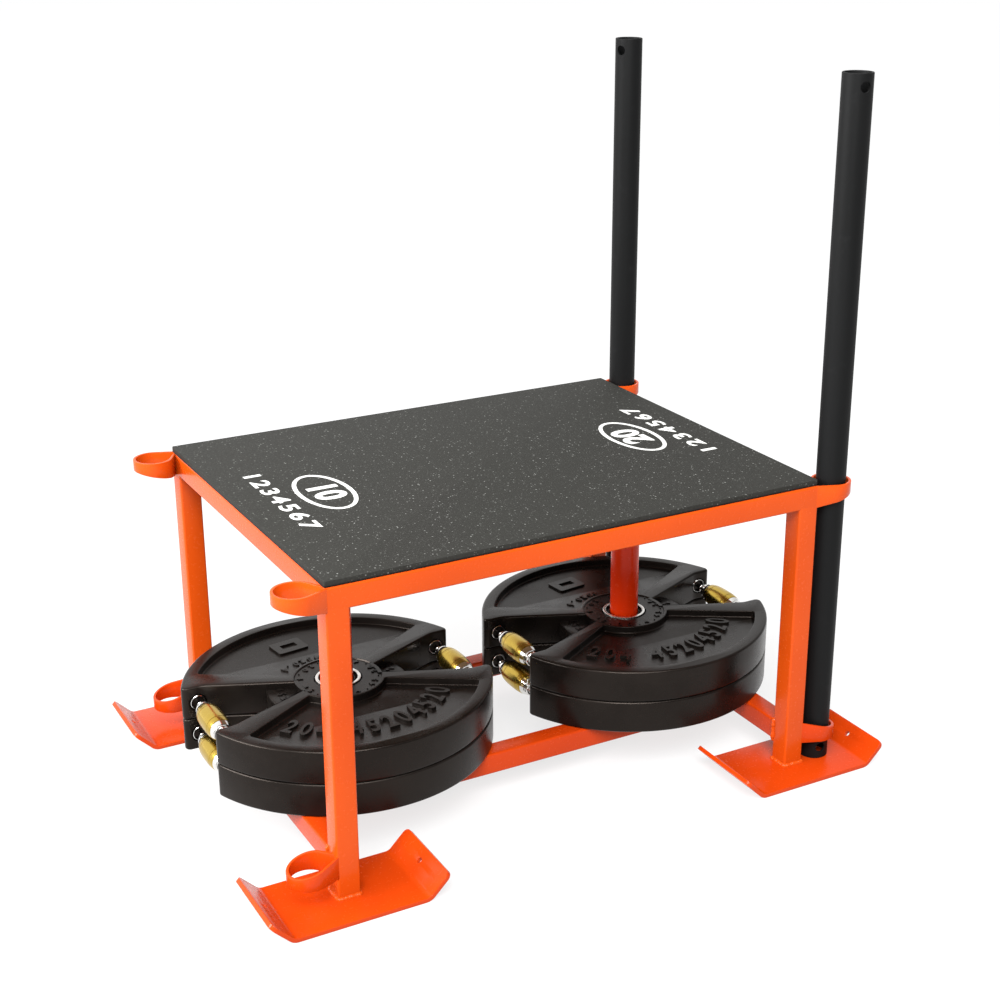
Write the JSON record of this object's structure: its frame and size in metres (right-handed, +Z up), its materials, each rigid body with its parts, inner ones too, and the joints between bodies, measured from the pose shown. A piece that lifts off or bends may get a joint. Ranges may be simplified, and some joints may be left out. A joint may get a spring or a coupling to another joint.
{
  "type": "drag sled",
  "caption": "Square-tube drag sled with a rubber-topped bench deck, upturned ski feet, notched grip plates on upright horns and lift-out push posts.",
  "frame": {"origin": "on the floor at the middle of the footprint of the four foot plates", "axes": "+X along the sled toward the push posts, +Y away from the near side, +Z up"},
  "size_m": [0.983, 0.699, 1.018],
  "materials": {
    "orange_paint": "satin",
    "black_paint": "satin",
    "mat_rubber": "matte",
    "plate_rubber": "satin",
    "board_wood": "matte",
    "hub_steel": "satin",
    "pin_chrome": "polished",
    "grip_brass": "polished"
  },
  "bodies": {
    "frame": {"rail_near": "orange_paint", "rail_far": "orange_paint", "rail_left": "orange_paint", "rail_right": "orange_paint", "leg_near_left": "orange_paint", "leg_near_right": "orange_paint", "leg_far_left": "orange_paint", "leg_far_right": "orange_paint", "foot_near_left": "orange_paint", "foot_near_right": "orange_paint", "foot_far_left": "orange_paint", "foot_far_right": "orange_paint", "cross_beam_left": "orange_paint", "cross_beam_right": "orange_paint", "lower_beam_near": "orange_paint", "lower_beam_far": "orange_paint", "horn_bearer_left": "orange_paint", "horn_bearer_right": "orange_paint", "weight_horn_left": "orange_paint", "weight_horn_right": "orange_paint", "upper_ring_near_left": "orange_paint", "lower_ring_near_left": "orange_paint", "upper_ring_near_right": "orange_paint", "lower_ring_near_right": "orange_paint", "upper_ring_far_left": "orange_paint", "lower_ring_far_left": "orange_paint", "upper_ring_far_right": "orange_paint", "lower_ring_far_right": "orange_paint", "deck_board": "board_wood", "rubber_mat": "mat_rubber", "deck_ledge_near": "orange_paint", "deck_ledge_far": "orange_paint"},
    "post_near": {"push_post_near": "black_paint"},
    "post_far": {"push_post_far": "black_paint"},
    "plate_set_left_lower": {"plate_left_lower": "plate_rubber", "hub_ring_left_lower": "hub_steel", "grip_pin_left_lower_outer": "pin_chrome", "grip_pin_left_lower_inner": "pin_chrome"},
    "plate_set_left_upper": {"plate_left_upper": "plate_rubber", "hub_ring_left_upper": "hub_steel", "grip_pin_left_upper_outer": "pin_chrome", "grip_pin_left_upper_inner": "pin_chrome"},
    "plate_set_right_lower": {"plate_right_lower": "plate_rubber", "hub_ring_right_lower": "hub_steel", "grip_pin_right_lower_outer": "pin_chrome", "grip_pin_right_lower_inner": "pin_chrome"},
    "plate_set_right_upper": {"plate_right_upper": "plate_rubber", "hub_ring_right_upper": "hub_steel", "grip_pin_right_upper_outer": "pin_chrome", "grip_pin_right_upper_inner": "pin_chrome"},
    "sleeve_left_lower_outer": {"grip_sleeve_left_lower_outer": "grip_brass"},
    "sleeve_left_lower_inner": {"grip_sleeve_left_lower_inner": "grip_brass"},
    "sleeve_left_upper_outer": {"grip_sleeve_left_upper_outer": "grip_brass"},
    "sleeve_left_upper_inner": {"grip_sleeve_left_upper_inner": "grip_brass"},
    "sleeve_right_lower_outer": {"grip_sleeve_right_lower_outer": "grip_brass"},
    "sleeve_right_lower_inner": {"grip_sleeve_right_lower_inner": "grip_brass"},
    "sleeve_right_upper_outer": {"grip_sleeve_right_upper_outer": "grip_brass"},
    "sleeve_right_upper_inner": {"grip_sleeve_right_upper_inner": "grip_brass"}
  },
  "joints": [
    {"name": "post_near_lift", "type": "slide", "parent": "frame", "child": "post_near", "axis": [0, 0, 1], "range_m": [0, 0.45]},
    {"name": "post_far_lift", "type": "slide", "parent": "frame", "child": "post_far", "axis": [0, 0, 1], "range_m": [0, 0.45]},
    {"name": "plate_left_lower_lift", "type": "slide", "parent": "frame", "child": "plate_set_left_lower", "axis": [0, 0, 1], "range_m": [0, 0.035]},
    {"name": "plate_left_upper_lift", "type": "slide", "parent": "plate_set_left_lower", "child": "plate_set_left_upper", "axis": [0, 0, 1], "range_m": [0, 0.21]},
    {"name": "plate_right_lower_lift", "type": "slide", "parent": "frame", "child": "plate_set_right_lower", "axis": [0, 0, 1], "range_m": [0, 0.035]},
    {"name": "plate_right_upper_lift", "type": "slide", "parent": "plate_set_right_lower", "child": "plate_set_right_upper", "axis": [0, 0, 1], "range_m": [0, 0.21]},
    {"name": "sleeve_left_lower_outer_turn", "type": "hinge", "parent": "plate_set_left_lower", "child": "sleeve_left_lower_outer", "pos_m": [-0.435, 0, 0.09505], "axis": [0, 1, 0], "continuous": true},
    {"name": "sleeve_left_lower_inner_turn", "type": "hinge", "parent": "plate_set_left_lower", "child": "sleeve_left_lower_inner", "pos_m": [-0.055, 0, 0.09505], "axis": [0, 1, 0], "continuous": true},
    {"name": "sleeve_left_upper_outer_turn", "type": "hinge", "parent": "plate_set_left_upper", "child": "sleeve_left_upper_outer", "pos_m": [-0.435, 0, 0.14485], "axis": [0, 1, 0], "continuous": true},
    {"name": "sleeve_left_upper_inner_turn", "type": "hinge", "parent": "plate_set_left_upper", "child": "sleeve_left_upper_inner", "pos_m": [-0.055, 0, 0.14485], "axis": [0, 1, 0], "continuous": true},
    {"name": "sleeve_right_lower_outer_turn", "type": "hinge", "parent": "plate_set_right_lower", "child": "sleeve_right_lower_outer", "pos_m": [0.435, 0, 0.09505], "axis": [0, 1, 0], "continuous": true},
    {"name": "sleeve_right_lower_inner_turn", "type": "hinge", "parent": "plate_set_right_lower", "child": "sleeve_right_lower_inner", "pos_m": [0.055, 0, 0.09505], "axis": [0, 1, 0], "continuous": true},
    {"name": "sleeve_right_upper_outer_turn", "type": "hinge", "parent": "plate_set_right_upper", "child": "sleeve_right_upper_outer", "pos_m": [0.435, 0, 0.14485], "axis": [0, 1, 0], "continuous": true},
    {"name": "sleeve_right_upper_inner_turn", "type": "hinge", "parent": "plate_set_right_upper", "child": "sleeve_right_upper_inner", "pos_m": [0.055, 0, 0.14485], "axis": [0, 1, 0], "continuous": true}
  ]
}
